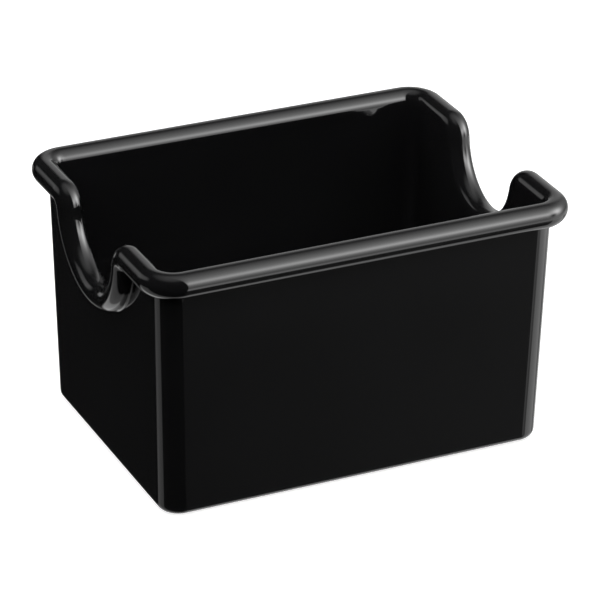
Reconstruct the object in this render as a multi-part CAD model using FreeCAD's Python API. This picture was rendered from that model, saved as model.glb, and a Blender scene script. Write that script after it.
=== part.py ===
import FreeCAD, Part

import math
import os

from FreeCAD import Vector

# Sugar packet caddy: a single black plastic moulding, open at the top. Its rim is a
# full round bead, which dips into a U-shaped finger notch in each short end.
#
# Millimetres. The origin is the middle of the flat underside, +Z is up, +X runs along
# the long side and +Y along the short one.

# Overall size, measured over the bead
LENGTH = 108.0
WIDTH = 80.5
HEIGHT = 63.5

# Rim: a round bead, in line with the inner wall face and proud of the outer one
BEAD_RADIUS = 3.05
BEAD_CORNER_RADIUS = 5.8      # plan radius of the bead's centreline
BEAD_LAP = 0.05               # how far the bead stands inside the inner wall face
UNDER_BEAD_FILLET = 0.5       # between the bead's underside and the outer wall face

# Shell: walls of even thickness that lean outwards towards the rim
WALL = 2.25
FLOOR = 2.4
DRAFT = math.radians(1.3)
WALL_CORNER_RADIUS = 5.4      # outer upright corner, the same from rim to base
BASE_ROUND = 2.1              # outer edge between the walls and the underside
INNER_BASE_ROUND = 1.4        # inner edge between the walls and the floor

# Finger notch, given by the bead's centreline in the plane of the leaning end wall
NOTCH_DEPTH = 17.4
NOTCH_BOTTOM_RADIUS = 17.0
NOTCH_SHOULDER_RADIUS = 3.65
NOTCH_FLANK_ANGLE = math.radians(79.5)

# Worked out from the above
BEAD_HALF_LENGTH = LENGTH / 2 - BEAD_RADIUS
BEAD_HALF_WIDTH = WIDTH / 2 - BEAD_RADIUS
BEAD_HEIGHT = HEIGHT - BEAD_RADIUS
OUTER_INSET = BEAD_RADIUS - WALL            # bead centreline to outer wall face
INNER_INSET = BEAD_RADIUS - BEAD_LAP        # bead centreline to inner wall face
INNER_CORNER_RADIUS = BEAD_CORNER_RADIUS - INNER_INSET

UP = Vector(0, 0, 1)
ON_FACE = 0.01


def drawn_in(height):
    """How far the draft brings every wall in at a height below the bead's centre."""
    return (BEAD_HEIGHT - height) * math.tan(DRAFT)


def quarter_arc(half_length, half_width, radius, height, quarter):
    """Corner arc of a rounded rectangle. Quarter 0 is at +X +Y, and they run anticlockwise."""
    side_x = 1 if quarter in (0, 3) else -1
    side_y = 1 if quarter in (0, 1) else -1
    centre = Vector(side_x * (half_length - radius), side_y * (half_width - radius), height)
    return Part.makeCircle(radius, centre, UP, 90 * quarter, 90 * quarter + 90)


def joined(first, second):
    """Straight edge from the end of one edge to the start of the next."""
    return Part.makeLine(first.Vertexes[-1].Point, second.Vertexes[0].Point)


def tapered_block(inset, corner_radius, bottom, top, edge_round):
    """Solid inside the outer or inner wall faces, with its upright and lowest edges rounded."""
    low_x, high_x = [BEAD_HALF_LENGTH - inset - drawn_in(height) for height in (bottom, top)]
    low_y, high_y = [BEAD_HALF_WIDTH - inset - drawn_in(height) for height in (bottom, top)]
    block = Part.makeWedge(
        -low_x, bottom, -low_y, -high_y, -high_x, low_x, top, low_y, high_y, high_x
    )
    block.rotate(Vector(0, 0, 0), Vector(1, 0, 0), 90)
    upright = [edge for edge in block.Edges if edge.BoundBox.ZLength > HEIGHT / 2]
    block = block.makeFillet(corner_radius, upright)
    lowest = [edge for edge in block.Edges if edge.BoundBox.ZMax < bottom + ON_FACE]
    return block.makeFillet(edge_round, lowest)


def end_plane_point(across, depth):
    """Point in the plane of the bead at the +X end, at a depth down the leaning wall."""
    return Vector(
        BEAD_HALF_LENGTH - depth * math.sin(DRAFT),
        across,
        BEAD_HEIGHT - depth * math.cos(DRAFT),
    )


def end_plane_arc(across, depth, radius, first_angle, last_angle):
    """Arc about a centre in the end plane. Angle 0 points up, and angles turn towards +Y."""
    points = [
        end_plane_point(across + radius * math.sin(angle), depth - radius * math.cos(angle))
        for angle in (first_angle, (first_angle + last_angle) / 2, last_angle)
    ]
    return Part.Arc(*points).toShape()


def notch_half_width():
    """Distance from the middle of a notch to where the bead leaves the level rim."""
    radii = NOTCH_SHOULDER_RADIUS + NOTCH_BOTTOM_RADIUS
    arcs_drop = radii * (1 - math.cos(NOTCH_FLANK_ANGLE))
    flank = (NOTCH_DEPTH - arcs_drop) / math.sin(NOTCH_FLANK_ANGLE)
    return radii * math.sin(NOTCH_FLANK_ANGLE) + flank * math.cos(NOTCH_FLANK_ANGLE)


def notch_path():
    """Bead centreline through the +X notch, from -Y to +Y."""
    shoulder = notch_half_width()
    radius = NOTCH_SHOULDER_RADIUS
    first = end_plane_arc(-shoulder, radius, radius, 0, NOTCH_FLANK_ANGLE)
    last = end_plane_arc(shoulder, radius, radius, -NOTCH_FLANK_ANGLE, 0)
    bottom = end_plane_arc(
        0,
        NOTCH_DEPTH - NOTCH_BOTTOM_RADIUS,
        NOTCH_BOTTOM_RADIUS,
        math.pi + NOTCH_FLANK_ANGLE,
        math.pi - NOTCH_FLANK_ANGLE,
    )
    return [first, joined(first, bottom), bottom, joined(bottom, last), last]


def half_rim_path():
    """Bead centreline from the middle of the front, round the +X end, to the middle of the back."""
    front = Part.Vertex(0, -BEAD_HALF_WIDTH, BEAD_HEIGHT)
    back = Part.Vertex(0, BEAD_HALF_WIDTH, BEAD_HEIGHT)
    front_corner, back_corner = [
        quarter_arc(BEAD_HALF_LENGTH, BEAD_HALF_WIDTH, BEAD_CORNER_RADIUS, BEAD_HEIGHT, quarter)
        for quarter in (3, 0)
    ]
    notch = notch_path()
    return Part.Wire(
        [joined(front, front_corner), front_corner, joined(front_corner, notch[0])]
        + notch
        + [joined(notch[-1], back_corner), back_corner, joined(back_corner, back)]
    )


def mirrored(shape):
    """The same shape at the other short end."""
    return shape.mirror(Vector(0, 0, 0), Vector(1, 0, 0))


def half_bead():
    """Round bead along the +X half of the rim."""
    start = Vector(0, -BEAD_HALF_WIDTH, BEAD_HEIGHT)
    circle = Part.makeCircle(BEAD_RADIUS, start, Vector(1, 0, 0))
    return half_rim_path().makePipe(Part.Face(Part.Wire(circle)))


def notch_cutter():
    """Block that opens the +X end wall down to the bead's centreline."""
    through_wall = Vector(20, 0, 0)
    notch = notch_path()
    lift = end_plane_point(0, -10) - end_plane_point(0, 0)
    first = notch[0].Vertexes[0].Point
    last = notch[-1].Vertexes[-1].Point
    lid = Part.makePolygon([last, last + lift, first + lift, first])
    outline = Part.Wire(notch + lid.Edges)
    outline.translate(through_wall * -0.5)
    return Part.Face(outline).extrude(through_wall)


def shell():
    """Floor and four walls, with the end walls cut down to the bead's centreline."""
    block = tapered_block(OUTER_INSET, WALL_CORNER_RADIUS, 0, BEAD_HEIGHT, BASE_ROUND)
    hollow = tapered_block(INNER_INSET, INNER_CORNER_RADIUS, FLOOR, HEIGHT, INNER_BASE_ROUND)
    cutter = notch_cutter()
    return block.cut([hollow, cutter, mirrored(cutter)])


def on_outer_wall(point):
    """Whether a point lies on the outer wall faces."""
    inwards = drawn_in(point.z)
    radius = WALL_CORNER_RADIUS
    past_x = abs(point.x) - (BEAD_HALF_LENGTH - OUTER_INSET - inwards - radius)
    past_y = abs(point.y) - (BEAD_HALF_WIDTH - OUTER_INSET - inwards - radius)
    if past_x > 0 and past_y > 0:
        return abs(math.hypot(past_x, past_y) - radius) < ON_FACE
    return abs(max(past_x, past_y) - radius) < ON_FACE


def under_bead_edges(body):
    """Edges where the bead's underside meets the outer wall faces."""
    found = []
    for edge in body.Edges:
        along = edge.discretize(5)
        upright = abs(along[0].z - along[-1].z) > HEIGHT / 2
        low = min(point.z for point in along) < HEIGHT / 2
        if not upright and not low and all(on_outer_wall(point) for point in along):
            found.append(edge)
    return found


def caddy():
    """The whole moulding: shell and bead as one solid."""
    bead = half_bead()
    body = shell().fuse([bead, mirrored(bead)]).removeSplitter().Solids[0]
    return body.makeFillet(UNDER_BEAD_FILLET, under_bead_edges(body)).Solids[0]


def main():
    os.makedirs("parts", exist_ok=True)
    caddy().exportStep("parts/caddy.step")


main()
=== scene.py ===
import math

import bmesh
import bpy
from mathutils import Matrix, Vector


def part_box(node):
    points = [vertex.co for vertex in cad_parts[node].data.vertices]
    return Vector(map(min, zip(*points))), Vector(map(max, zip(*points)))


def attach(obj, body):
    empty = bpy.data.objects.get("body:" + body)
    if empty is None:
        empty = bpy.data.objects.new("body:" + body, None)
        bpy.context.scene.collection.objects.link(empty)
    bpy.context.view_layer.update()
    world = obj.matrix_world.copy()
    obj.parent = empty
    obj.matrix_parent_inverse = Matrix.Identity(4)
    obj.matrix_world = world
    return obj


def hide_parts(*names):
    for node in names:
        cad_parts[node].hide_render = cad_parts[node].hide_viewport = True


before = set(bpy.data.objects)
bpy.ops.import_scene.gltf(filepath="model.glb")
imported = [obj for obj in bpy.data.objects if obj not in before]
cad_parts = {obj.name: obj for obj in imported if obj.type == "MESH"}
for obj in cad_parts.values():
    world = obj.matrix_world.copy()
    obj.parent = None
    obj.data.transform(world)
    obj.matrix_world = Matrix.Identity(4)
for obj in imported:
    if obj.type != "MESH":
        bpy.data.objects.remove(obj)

# Sugar packet caddy in gloss black plastic, one moulding, shown on a pale floor.
# Metres, in the row frame: +Z up, +X along the long side, origin under the middle.

MM = 0.001
UP = Vector((0, 0, 1))
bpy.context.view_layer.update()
_, CADDY_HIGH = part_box("caddy")

# Rim: a round bead whose underside runs into the outer wall face through a small fillet
BEAD_RADIUS = 3.05 * MM
BEAD_CORNER_RADIUS = 5.8 * MM
UNDER_BEAD_FILLET = 0.5 * MM

# Shell: walls that lean outwards towards the rim
WALL = 2.25 * MM
FLOOR = 2.4 * MM
DRAFT = math.radians(1.3)
WALL_CORNER_RADIUS = 5.4 * MM
BASE_ROUND = 2.1 * MM
INNER_BASE_ROUND = 1.4 * MM

# Finger notch, along the bead's centreline in the plane of the leaning end wall
NOTCH_DEPTH = 17.4 * MM
NOTCH_BOTTOM_RADIUS = 17.0 * MM
NOTCH_SHOULDER_RADIUS = 3.65 * MM
NOTCH_FLANK_ANGLE = math.radians(79.5)

# Bead centreline, and how far the outer and inner wall faces stand inside it at its height
HALF_LENGTH = CADDY_HIGH.x - BEAD_RADIUS
HALF_WIDTH = CADDY_HIGH.y - BEAD_RADIUS
BEAD_HEIGHT = CADDY_HIGH.z - BEAD_RADIUS
OUTER_INSET = BEAD_RADIUS - WALL
INNER_INSET = BEAD_RADIUS / math.cos(DRAFT)
CORNER_INWARDS = Vector((-1, 1, 0))         # way the +X -Y corner moves as the walls go down

# Mesh steps, and the distance at which the four quarters' points are joined
BEAD_STEPS = 56
FILLET_STEPS = 6
CORNER_STEPS = 20
SHOULDER_STEPS = 18
BOTTOM_STEPS = 26
ROUND_STEPS = 7
JOIN_WITHIN = 0.001 * MM
EVEN_GLOSS_WEIGHT = 100                     # how far large faces outweigh small ones in the shading


# ---------------------------------------------------------------- caddy mesh


class Station:
    """One place along the rim: the bead's section there, and the wall under it.

    The wall is a plan point of the outer face and that face's direction. Inwards is the
    way the walls move as they go down.
    """

    def __init__(self, centre, outward, tilt=0.0, wall=None, inwards=None):
        across = Vector((0, 1, 0)) * math.sin(tilt)
        self.centre = centre
        self.plan_out = outward
        self.out = outward * math.cos(DRAFT) - UP * math.sin(DRAFT)
        lean = outward * math.sin(DRAFT) + UP * math.cos(DRAFT)
        self.away = lean * math.cos(tilt) + across
        self.wall = wall or (centre - outward * OUTER_INSET, outward)
        self.inwards = inwards or -outward

    def at(self, out, away):
        """Point of the section, from its distances out of the wall and away from the material."""
        return self.centre + self.out * out + self.away * away

    def outer_inset(self):
        """Distance from the bead's centre to the outer wall face, along the bead's own axis."""
        point, _ = self.wall
        return (self.centre - point).dot(self.plan_out) * math.cos(DRAFT)


def corner_wall(centre, outward):
    """Outer wall face inside a point of the corner bead: a plan point and the face's direction."""
    inset = WALL_CORNER_RADIUS + OUTER_INSET
    pivot = Vector((HALF_LENGTH - inset, inset - HALF_WIDTH, BEAD_HEIGHT))
    offset = centre - pivot
    ahead = offset.dot(outward)
    inwards = ahead - math.sqrt(ahead**2 - offset.length_squared + WALL_CORNER_RADIUS**2)
    point = centre - outward * inwards
    return point, (point - pivot).normalized()


def corner_stations():
    """Stations round the corner at +X -Y."""
    pivot = Vector((HALF_LENGTH - BEAD_CORNER_RADIUS, BEAD_CORNER_RADIUS - HALF_WIDTH, BEAD_HEIGHT))
    stations = []
    for step in range(CORNER_STEPS + 1):
        angle = math.radians(-90 + 90 * step / CORNER_STEPS)
        outward = Vector((math.cos(angle), math.sin(angle), 0))
        centre = pivot + outward * BEAD_CORNER_RADIUS
        wall = corner_wall(centre, outward)
        stations.append(Station(centre, outward, wall=wall, inwards=CORNER_INWARDS))
    return stations


def notch_station(across, depth, tilt):
    """Station of the +X notch, at a distance across and a depth down the leaning wall."""
    x = HALF_LENGTH - depth * math.sin(DRAFT)
    z = BEAD_HEIGHT - depth * math.cos(DRAFT)
    return Station(Vector((x, across, z)), Vector((1, 0, 0)), tilt)


def notch_stations():
    """Stations from the -Y shoulder of the +X notch to its middle."""
    flank = NOTCH_FLANK_ANGLE
    radii = NOTCH_SHOULDER_RADIUS + NOTCH_BOTTOM_RADIUS
    run = (NOTCH_DEPTH - radii * (1 - math.cos(flank))) / math.sin(flank)
    half_width = radii * math.sin(flank) + run * math.cos(flank)
    stations = []
    for step in range(SHOULDER_STEPS + 1):
        tilt = flank * step / SHOULDER_STEPS
        across = NOTCH_SHOULDER_RADIUS * math.sin(tilt) - half_width
        depth = NOTCH_SHOULDER_RADIUS * (1 - math.cos(tilt))
        stations.append(notch_station(across, depth, tilt))
    for step in range(BOTTOM_STEPS + 1):
        tilt = flank * (1 - step / BOTTOM_STEPS)
        across = -NOTCH_BOTTOM_RADIUS * math.sin(tilt)
        depth = NOTCH_DEPTH - NOTCH_BOTTOM_RADIUS * (1 - math.cos(tilt))
        stations.append(notch_station(across, depth, tilt))
    return stations


def rim_stations():
    """Level stations from the middle of the front, and notch stations to the middle of the end."""
    wall_corner = WALL_CORNER_RADIUS + OUTER_INSET
    front = Vector((0, -1, 0))
    side = Vector((1, 0, 0))
    before_corner = Vector((HALF_LENGTH - wall_corner, -HALF_WIDTH, BEAD_HEIGHT))
    after_corner = Vector((HALF_LENGTH, wall_corner - HALF_WIDTH, BEAD_HEIGHT))
    level = [
        Station(Vector((0, -HALF_WIDTH, BEAD_HEIGHT)), front),
        Station(before_corner, front, inwards=CORNER_INWARDS),
    ]
    level += corner_stations()
    level.append(Station(after_corner, side, inwards=CORNER_INWARDS))
    return level, notch_stations()


def bead_section(station):
    """Points over the bead, from the inner wall face to the outer one."""
    inset = station.outer_inset()
    fillet_out = UNDER_BEAD_FILLET - inset
    reach = BEAD_RADIUS + UNDER_BEAD_FILLET
    fillet_away = -math.sqrt(reach**2 - fillet_out**2)
    last = math.atan2(fillet_away, fillet_out)
    points = []
    for step in range(BEAD_STEPS + 1):
        angle = math.pi + (last - math.pi) * step / BEAD_STEPS
        points.append(station.at(BEAD_RADIUS * math.cos(angle), BEAD_RADIUS * math.sin(angle)))
    first = last + math.pi
    for step in range(1, FILLET_STEPS + 1):
        angle = first + (math.pi - first) * step / FILLET_STEPS
        out = fillet_out + UNDER_BEAD_FILLET * math.cos(angle)
        away = fillet_away + UNDER_BEAD_FILLET * math.sin(angle)
        points.append(station.at(out, away))
    return points


def round_section(wall, inwards, level, radius):
    """Points down the round between a wall face and a level face under it."""
    point, outward = wall
    lean = math.atan(-inwards.dot(outward) * math.tan(DRAFT))
    drawn_in = inwards * (BEAD_HEIGHT - level - radius) * math.tan(DRAFT)
    centre = point + drawn_in - outward * radius / math.cos(lean)
    centre.z = level + radius
    points = []
    for step in range(ROUND_STEPS + 1):
        angle = -lean - (math.pi / 2 - lean) * step / ROUND_STEPS
        points.append(centre + outward * radius * math.cos(angle) + UP * radius * math.sin(angle))
    return points


def inner_wall(station):
    """Inner wall face under a station: a plan point and the face's direction."""
    return station.centre - station.plan_out * INNER_INSET, station.plan_out


def strips(mesh, sections):
    """Quads between neighbouring sections."""
    for here, there in zip(sections, sections[1:]):
        for row in range(len(here) - 1):
            mesh.faces.new((here[row], there[row], there[row + 1], here[row + 1]))


def add_points(mesh, sections):
    """Vertices for each section's points."""
    return [[mesh.verts.new(point) for point in section] for section in sections]


def link_mesh(name, mesh, material):
    """Scene object from a bmesh, which is used up."""
    data = bpy.data.meshes.new(name)
    mesh.to_mesh(data)
    mesh.free()
    data.materials.append(material)
    made = bpy.data.objects.new(name, data)
    bpy.context.scene.collection.objects.link(made)
    return made


def quarter_caddy(mesh):
    """Faces of the quarter at +X -Y, from the floor over the bead to the underside."""
    level, notch = rim_stations()
    bead = add_points(mesh, [bead_section(station) for station in level + notch])
    middle = Station(Vector((HALF_LENGTH, 0, BEAD_HEIGHT)), Vector((1, 0, 0)))
    feet = level + [middle]
    outer = add_points(mesh, [round_section(at.wall, at.inwards, 0, BASE_ROUND) for at in feet])
    inner = add_points(
        mesh,
        [round_section(inner_wall(at), at.inwards, FLOOR, INNER_BASE_ROUND) for at in feet],
    )
    strips(mesh, bead)
    strips(mesh, outer)
    strips(mesh, [section[::-1] for section in inner])
    walls = len(level)
    strips(mesh, [(bead[at][-1], outer[at][0]) for at in range(walls)])
    strips(mesh, [(inner[at][0], bead[at][0]) for at in range(walls)])
    rim_edge = bead[walls - 1:]
    mesh.faces.new([section[-1] for section in rim_edge] + [outer[-1][0], outer[-2][0]])
    mesh.faces.new([section[0] for section in rim_edge][::-1] + [inner[-2][0], inner[-1][0]])
    underside = mesh.verts.new(Vector((0, 0, 0)))
    inside = mesh.verts.new(Vector((0, 0, FLOOR)))
    mesh.faces.new([section[-1] for section in outer] + [underside])
    mesh.faces.new([section[-1] for section in inner][::-1] + [inside])


def make_caddy():
    """The whole moulding as one closed, smooth mesh."""
    mesh = bmesh.new()
    quarter_caddy(mesh)
    for axis in (Vector((1, 0, 0)), Vector((0, 1, 0))):
        flip = Matrix.Scale(-1, 4, axis)
        copied = bmesh.ops.duplicate(mesh, geom=mesh.verts[:] + mesh.faces[:])["geom"]
        vertices = [part for part in copied if isinstance(part, bmesh.types.BMVert)]
        bmesh.ops.transform(mesh, matrix=flip, verts=vertices)
        faces = [part for part in copied if isinstance(part, bmesh.types.BMFace)]
        bmesh.ops.reverse_faces(mesh, faces=faces)
    bmesh.ops.remove_doubles(mesh, verts=mesh.verts[:], dist=JOIN_WITHIN)
    bmesh.ops.recalc_face_normals(mesh, faces=mesh.faces[:])
    for face in mesh.faces:
        face.smooth = True
    caddy = link_mesh("sugar_caddy", mesh, black_plastic())
    weighted = caddy.modifiers.new("even_gloss", "WEIGHTED_NORMAL")
    weighted.mode = "FACE_AREA"
    weighted.weight = EVEN_GLOSS_WEIGHT
    return caddy


# ---------------------------------------------------------------- node maths


def towards(azimuth, elevation):
    """Unit vector. Azimuth 0 is the front, -Y, and 90 is +X. Both angles are in degrees."""
    turn = math.radians(azimuth)
    rise = math.radians(elevation)
    level = math.cos(rise)
    return Vector((math.sin(turn) * level, -math.cos(turn) * level, math.sin(rise)))


# Cosine to a panel's direction, where a panel starts to be seen and where it is seen in full
PANEL_EDGE_ON = 0.01
PANEL_IN_FULL = 0.1


class Field:
    """Node maths on the place that is being shaded, or on a direction in the world."""

    def __init__(self, tree, place):
        self.tree = tree
        self.place = place

    def feed(self, socket, value):
        """Give a socket a number, or link another node's output to it."""
        if isinstance(value, (int, float)):
            socket.default_value = value
        else:
            self.tree.links.new(value, socket)

    def maths(self, operation, *values):
        """Result of a maths node on numbers and sockets."""
        node = self.tree.nodes.new("ShaderNodeMath")
        node.operation = operation
        for socket, value in zip(node.inputs, values):
            self.feed(socket, value)
        return node.outputs[0]

    def noise(self, scale, detail):
        """Noise between 0 and 1. The scale is the number of its features in a metre."""
        node = self.tree.nodes.new("ShaderNodeTexNoise")
        self.tree.links.new(self.place, node.inputs["Vector"])
        node.inputs["Scale"].default_value = scale
        node.inputs["Detail"].default_value = detail
        return node.outputs["Fac"]

    def stretched(self, stretch):
        """The same field, with its place scaled along each axis."""
        node = self.tree.nodes.new("ShaderNodeVectorMath")
        node.operation = "MULTIPLY"
        self.tree.links.new(self.place, node.inputs[0])
        node.inputs[1].default_value = stretch
        return Field(self.tree, node.outputs["Vector"])

    def along(self, axis):
        """Distance of the place along an axis, or the cosine between a direction and the axis."""
        node = self.tree.nodes.new("ShaderNodeVectorMath")
        node.operation = "DOT_PRODUCT"
        self.tree.links.new(self.place, node.inputs[0])
        node.inputs[1].default_value = axis
        return node.outputs["Value"]

    def ramp(self, value, low, high):
        """0 at the low end and 1 at the high one, smooth between. The ends may be swapped."""
        node = self.tree.nodes.new("ShaderNodeMapRange")
        node.interpolation_type = "SMOOTHSTEP"
        self.tree.links.new(value, node.inputs["Value"])
        node.inputs["From Min"].default_value = low
        node.inputs["From Max"].default_value = high
        return node.outputs["Result"]

    def times(self, *values):
        """Product of numbers and sockets."""
        product = values[0]
        for value in values[1:]:
            product = self.maths("MULTIPLY", product, value)
        return product

    def plus(self, *values):
        """Sum of numbers and sockets."""
        total = values[0]
        for value in values[1:]:
            total = self.maths("ADD", total, value)
        return total

    def side(self, normal, blur):
        """The half of the surroundings that an axis points to, with a blurred edge."""
        return self.ramp(self.along(Vector(normal).normalized()), -blur, blur)

    def lobe(self, azimuth, elevation, tightness, level):
        """Round glow that is brightest in one direction. Angles are in degrees."""
        away = self.maths("SUBTRACT", self.along(towards(azimuth, elevation)), 1)
        return self.times(self.maths("EXPONENT", self.times(away, tightness)), level)

    def panel(self, azimuth, elevation, tilt, half, blur, level):
        """Rectangular soft panel square to one direction, tilted about it, in degrees.

        Half sizes and blurs are slopes from that direction.
        """
        ahead = towards(azimuth, elevation)
        across = UP.cross(ahead).normalized()
        above = ahead.cross(across)
        turn = math.radians(tilt)
        axes = (
            across * math.cos(turn) + above * math.sin(turn),
            above * math.cos(turn) - across * math.sin(turn),
        )
        forward = self.along(ahead)
        reach = self.maths("MAXIMUM", forward, PANEL_EDGE_ON)
        lit = self.ramp(forward, PANEL_EDGE_ON, PANEL_IN_FULL)
        for axis, size, soft in zip(axes, half, blur):
            slope = self.maths("ABSOLUTE", self.maths("DIVIDE", self.along(axis), reach))
            lit = self.times(lit, self.ramp(slope, size + soft, size - soft))
        return self.times(lit, level)


# ---------------------------------------------------------------- material

# Plain plastic, and how much cloudiness and each sort of wear add to its roughness and shade
IOR = 1.5
PLAIN_ROUGHNESS = 0.02
CLOUDY_ROUGHNESS = 0.03
SCRATCHED_ROUGHNESS = 0.08
HANDLED_ROUGHNESS = 0.03
SCUFFED_ROUGHNESS = 0.2
PLAIN_SHADE = 0.0055
CLOUDY_SHADE = 0.004
SCRATCHED_SHADE = 0.006
SCUFFED_SHADE = 0.02
TINT = (("Red", 1), ("Green", 1), ("Blue", 1.05))

# Noise, as the number of its features in a metre and its detail
CLOUDS = (45, 3)
PATCHES = (70, 2)
GRAIN = (1800, 4)
WAVES = (260, 1)
UPRIGHT_LINES = (2600, 2)
LEVEL_LINES = (2200, 2)
UPRIGHT_STRETCH = (1, 1, 0.012)
LEVEL_STRETCH = (0.02, 0.02, 1)

# Noise levels between which each pattern fades in
PATCHES_FADE = (0.45, 0.7)
UPRIGHT_LINES_FADE = (0.7, 0.82)
LEVEL_LINES_FADE = (0.72, 0.84)
SCUFFS_FADE = (0.4, 0.65)

# How far down from the rim hands touch it, and how far up from the base it is scuffed
HANDLED_DEPTH = 5 * MM
SCUFFED_HEIGHT = 2.5 * MM

# Relief in metres, too shallow to be seen except in reflections
WAVE_HEIGHT = 1.6e-6
GRAIN_HEIGHT = 0.12e-6
SCRATCH_HEIGHT = -0.3e-6


def black_plastic():
    """Gloss black moulded plastic: faintly wavy, finely scratched, dulled where it is handled."""
    material = bpy.data.materials.new("black_plastic")
    material.use_nodes = True
    tree = material.node_tree
    shader = tree.nodes["Principled BSDF"]
    shader.inputs["IOR"].default_value = IOR
    field = Field(tree, tree.nodes.new("ShaderNodeTexCoord").outputs["Object"])
    height = field.along(UP)
    cloud = field.noise(*CLOUDS)
    grain = field.noise(*GRAIN)
    patches = field.ramp(field.noise(*PATCHES), *PATCHES_FADE)
    upright = field.stretched(UPRIGHT_STRETCH).noise(*UPRIGHT_LINES)
    level = field.stretched(LEVEL_STRETCH).noise(*LEVEL_LINES)
    lines = field.maths(
        "MAXIMUM",
        field.ramp(upright, *UPRIGHT_LINES_FADE),
        field.ramp(level, *LEVEL_LINES_FADE),
    )
    scratches = field.times(lines, patches)
    handled = field.ramp(height, CADDY_HIGH.z - HANDLED_DEPTH, CADDY_HIGH.z)
    scuffed = field.times(field.ramp(height, SCUFFED_HEIGHT, 0), field.ramp(grain, *SCUFFS_FADE))
    roughness = field.plus(
        PLAIN_ROUGHNESS,
        field.times(cloud, CLOUDY_ROUGHNESS),
        field.times(scratches, SCRATCHED_ROUGHNESS),
        field.times(handled, grain, HANDLED_ROUGHNESS),
        field.times(scuffed, SCUFFED_ROUGHNESS),
    )
    tree.links.new(roughness, shader.inputs["Roughness"])
    shade = field.plus(
        PLAIN_SHADE,
        field.times(cloud, CLOUDY_SHADE),
        field.times(scratches, SCRATCHED_SHADE),
        field.times(scuffed, SCUFFED_SHADE),
    )
    colour = tree.nodes.new("ShaderNodeCombineColor")
    for channel, tint in TINT:
        tree.links.new(field.times(shade, tint), colour.inputs[channel])
    tree.links.new(colour.outputs["Color"], shader.inputs["Base Color"])
    relief = field.plus(
        field.times(field.noise(*WAVES), WAVE_HEIGHT),
        field.times(grain, GRAIN_HEIGHT),
        field.times(scratches, SCRATCH_HEIGHT),
    )
    bump = tree.nodes.new("ShaderNodeBump")
    bump.inputs["Distance"].default_value = 1
    tree.links.new(relief, bump.inputs["Height"])
    tree.links.new(bump.outputs["Normal"], shader.inputs["Normal"])
    return material


# ---------------------------------------------------------------- stage and light

WHITE = (1, 1, 1, 1)

# Pale floor, which also glows, so that it comes out nearly white
GROUND_COLOUR = (0.6, 0.6, 0.6, 1)
GROUND_ROUGHNESS = 0.9
GROUND_GLOW = 0.72
GROUND_REACH = 20                           # metres from the middle to each side
GROUND_SQUARES = 4

# Card in front of the caddy: its place, where its light fades in, and how strong it is
CARD_LEFT = -400 * MM
CARD_RIGHT = 100 * MM
CARD_FRONT = -128 * MM
CARD_LOW = -150 * MM
CARD_HIGH = 2 * MM
CARD_FADE_ACROSS = (-25 * MM, -8 * MM)
CARD_FADE_UP = (-25 * MM, -2 * MM)
CARD_STRENGTH = 0.07
CARD_STRENGTH_ACROSS = 0.75                 # more for each metre to the right
CARD_STRENGTH_UP = 0.022                    # more near the top

# World beyond the floor for the camera, and a ring of light overhead for matt surfaces. The
# ring fades in and out between sines of the elevation.
BACKDROP_STRENGTH = 1
OVERHEAD_STRENGTH = 1.9
OVERHEAD_FADE_IN = (0.3, 0.5)
OVERHEAD_FADE_OUT = (0.95, 0.75)


def make_floor():
    """Large pale floor under the caddy."""
    material = bpy.data.materials.new("pale_floor")
    material.use_nodes = True
    shader = material.node_tree.nodes["Principled BSDF"]
    shader.inputs["Base Color"].default_value = GROUND_COLOUR
    shader.inputs["Roughness"].default_value = GROUND_ROUGHNESS
    shader.inputs["Emission Color"].default_value = WHITE
    shader.inputs["Emission Strength"].default_value = GROUND_GLOW
    mesh = bmesh.new()
    squares = GROUND_SQUARES
    bmesh.ops.create_grid(mesh, x_segments=squares, y_segments=squares, size=GROUND_REACH)
    floor = link_mesh("floor", mesh, material)
    floor.visible_glossy = False
    floor.visible_diffuse = False


def card_light(place):
    """Dark at its left end, then slowly brighter to the right, and brighter near its top."""
    across = place.along(Vector((1, 0, 0)))
    upper = place.ramp(place.along(UP), *CARD_FADE_UP)
    strength = place.plus(
        CARD_STRENGTH,
        place.times(across, CARD_STRENGTH_ACROSS),
        place.times(upper, CARD_STRENGTH_UP),
    )
    return place.times(place.ramp(across, *CARD_FADE_ACROSS), strength)


def make_card():
    """Dim upright card in front, from just above the table to below it. Only reflections see it."""
    material = bpy.data.materials.new("front_flag")
    material.use_nodes = True
    tree = material.node_tree
    tree.nodes.clear()
    place = Field(tree, tree.nodes.new("ShaderNodeTexCoord").outputs["Object"])
    glow = tree.nodes.new("ShaderNodeEmission")
    tree.links.new(card_light(place), glow.inputs["Strength"])
    output = tree.nodes.new("ShaderNodeOutputMaterial")
    tree.links.new(glow.outputs[0], output.inputs["Surface"])
    corners = (
        (CARD_LEFT, CARD_LOW),
        (CARD_RIGHT, CARD_LOW),
        (CARD_RIGHT, CARD_HIGH),
        (CARD_LEFT, CARD_HIGH),
    )
    mesh = bmesh.new()
    mesh.faces.new([mesh.verts.new((x, CARD_FRONT, z)) for x, z in corners])
    card = link_mesh("front_flag", mesh, material)
    card.visible_camera = False
    card.visible_diffuse = False
    card.visible_shadow = False
    card.visible_transmission = False


def key_light(sky):
    """Broad glow from the front right, which is held back low down in its middle."""
    glow = sky.plus(
        sky.lobe(azimuth=66, elevation=20, tightness=26, level=6.8),
        sky.lobe(azimuth=30, elevation=26, tightness=45, level=3.7),
        sky.lobe(azimuth=49, elevation=26, tightness=5.6, level=5.2),
    )
    held_back = sky.lobe(azimuth=46, elevation=7, tightness=45, level=0.85)
    return sky.times(glow, sky.maths("SUBTRACT", 1, held_back))


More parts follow.
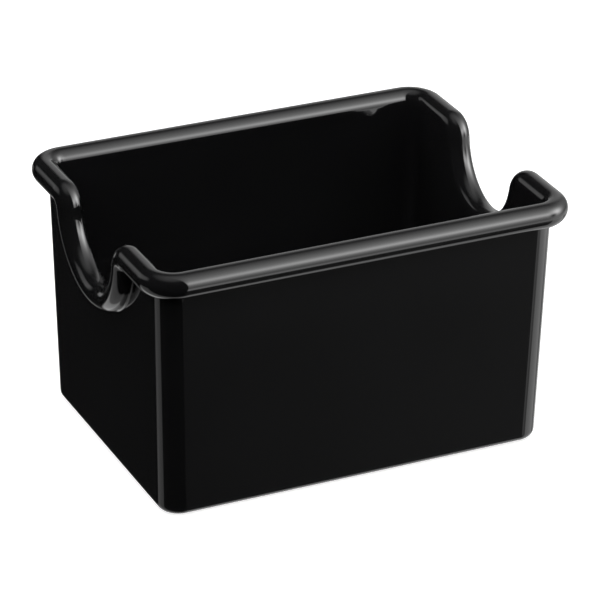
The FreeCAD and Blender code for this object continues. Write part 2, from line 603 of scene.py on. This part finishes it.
def table_light(sky):
    """Pale table below the horizon: a left and a right piece, both cut off towards the back."""
    left = sky.times(sky.side((0.3, 1, -0.17), 0.05), sky.side((1, 0, -2.2), 0.05), 0.5)
    right = sky.maths("MAXIMUM", sky.side((1, 0, 1.4), 0.06), sky.side((1, 1, 0.14), 0.05))
    return sky.times(
        sky.maths("MAXIMUM", left, sky.times(right, 1.1)),
        sky.side((-0.34, -1, -0.92), 0.05),
        sky.ramp(sky.along(UP), -0.38, -0.44),
    )


def studio_light(sky):
    """Brightness of the studio in every direction, as the caddy's gloss sees it.

    Heights are sines of the elevation.
    """
    height = sky.along(UP)
    room = 0.01
    ceiling = sky.times(sky.ramp(height, 0.77, 1.05), 0.8)
    right_side = sky.side(towards(108, 0), 0.03)
    low_strip = sky.times(
        sky.side(towards(22, 0), 0.12),
        sky.ramp(height, -0.12, -0.3),
        sky.ramp(height, -0.47, -0.43),
        0.9,
    )
    low_front_glow = sky.lobe(azimuth=20, elevation=-24, tightness=100, level=1.2)
    left_panel = sky.panel(
        azimuth=-132, elevation=19, tilt=33, half=(0.4, 0.19), blur=(0.15, 0.1), level=0.82
    )
    low_panel = sky.panel(
        azimuth=-170, elevation=-13, tilt=0, half=(0.08, 0.09), blur=(0.04, 0.04), level=0.6
    )
    back_panel = sky.panel(
        azimuth=150, elevation=12, tilt=0, half=(0.3, 0.44), blur=(0.15, 0.2), level=0.6
    )
    right_wash = sky.lobe(azimuth=112, elevation=20, tightness=8, level=0.45)
    low_glint = sky.lobe(azimuth=36, elevation=-29, tightness=400, level=0.4)
    low_back_glow = sky.lobe(azimuth=172, elevation=-33, tightness=60, level=0.4)
    low_right_glow = sky.lobe(azimuth=128, elevation=-27, tightness=24, level=0.8)
    return sky.plus(
        room,
        ceiling,
        sky.times(right_side, sky.plus(low_strip, key_light(sky), low_front_glow)),
        left_panel,
        low_panel,
        back_panel,
        right_wash,
        low_glint,
        table_light(sky),
        low_back_glow,
        low_right_glow,
    )


def make_world():
    """Dark studio for gloss, light from overhead for matt surfaces, and white for the camera."""
    world = bpy.data.worlds.new("studio")
    bpy.context.scene.world = world
    world.use_nodes = True
    world.cycles.sampling_method = "NONE"
    tree = world.node_tree
    tree.nodes.clear()
    sky = Field(tree, tree.nodes.new("ShaderNodeTexCoord").outputs["Generated"])
    path = tree.nodes.new("ShaderNodeLightPath")
    studio = tree.nodes.new("ShaderNodeBackground")
    studio.inputs["Color"].default_value = WHITE
    tree.links.new(studio_light(sky), studio.inputs["Strength"])
    surround = studio.outputs[0]
    height = sky.along(UP)
    ring = sky.times(sky.ramp(height, *OVERHEAD_FADE_IN), sky.ramp(height, *OVERHEAD_FADE_OUT))
    overhead = sky.times(ring, OVERHEAD_STRENGTH)
    for strength, seen in ((overhead, "Is Diffuse Ray"), (BACKDROP_STRENGTH, "Is Camera Ray")):
        plain = tree.nodes.new("ShaderNodeBackground")
        plain.inputs["Color"].default_value = WHITE
        sky.feed(plain.inputs["Strength"], strength)
        mix = tree.nodes.new("ShaderNodeMixShader")
        tree.links.new(path.outputs[seen], mix.inputs[0])
        tree.links.new(surround, mix.inputs[1])
        tree.links.new(plain.outputs[0], mix.inputs[2])
        surround = mix.outputs[0]
    output = tree.nodes.new("ShaderNodeOutputWorld")
    tree.links.new(surround, output.inputs["Surface"])


# ---------------------------------------------------------------- camera

CAMERA_AZIMUTH = -25.14                     # degrees
CAMERA_ELEVATION = 26.42                    # degrees
CAMERA_ROLL = math.radians(0.66)
CAMERA_DISTANCE = 877.3 * MM
CAMERA_LENS = 220.5
AIM_HEIGHT = 30 * MM
AIM_RIGHT = 0.91 * MM
AIM_UP = 0.80 * MM


def make_camera():
    """Long-lens camera above the front left corner."""
    back = towards(CAMERA_AZIMUTH, CAMERA_ELEVATION)
    right = UP.cross(back).normalized()
    above = back.cross(right)
    camera = bpy.data.objects.new("camera", bpy.data.cameras.new("camera"))
    bpy.context.scene.collection.objects.link(camera)
    camera.data.lens = CAMERA_LENS
    aim = UP * AIM_HEIGHT
    camera.location = aim + back * CAMERA_DISTANCE
    aim += right * AIM_RIGHT + above * AIM_UP
    camera.rotation_mode = "QUATERNION"
    turn = (camera.location - aim).to_track_quat("Z", "Y")
    roll = Matrix.Rotation(CAMERA_ROLL, 4, "Z").to_quaternion()
    camera.rotation_quaternion = turn @ roll
    bpy.context.scene.camera = camera


# ---------------------------------------------------------------- scene

caddy = make_caddy()
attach(caddy, "root")
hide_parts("caddy")

make_floor()
make_card()
make_world()
make_camera()
bpy.context.scene.view_settings.view_transform = "Standard"
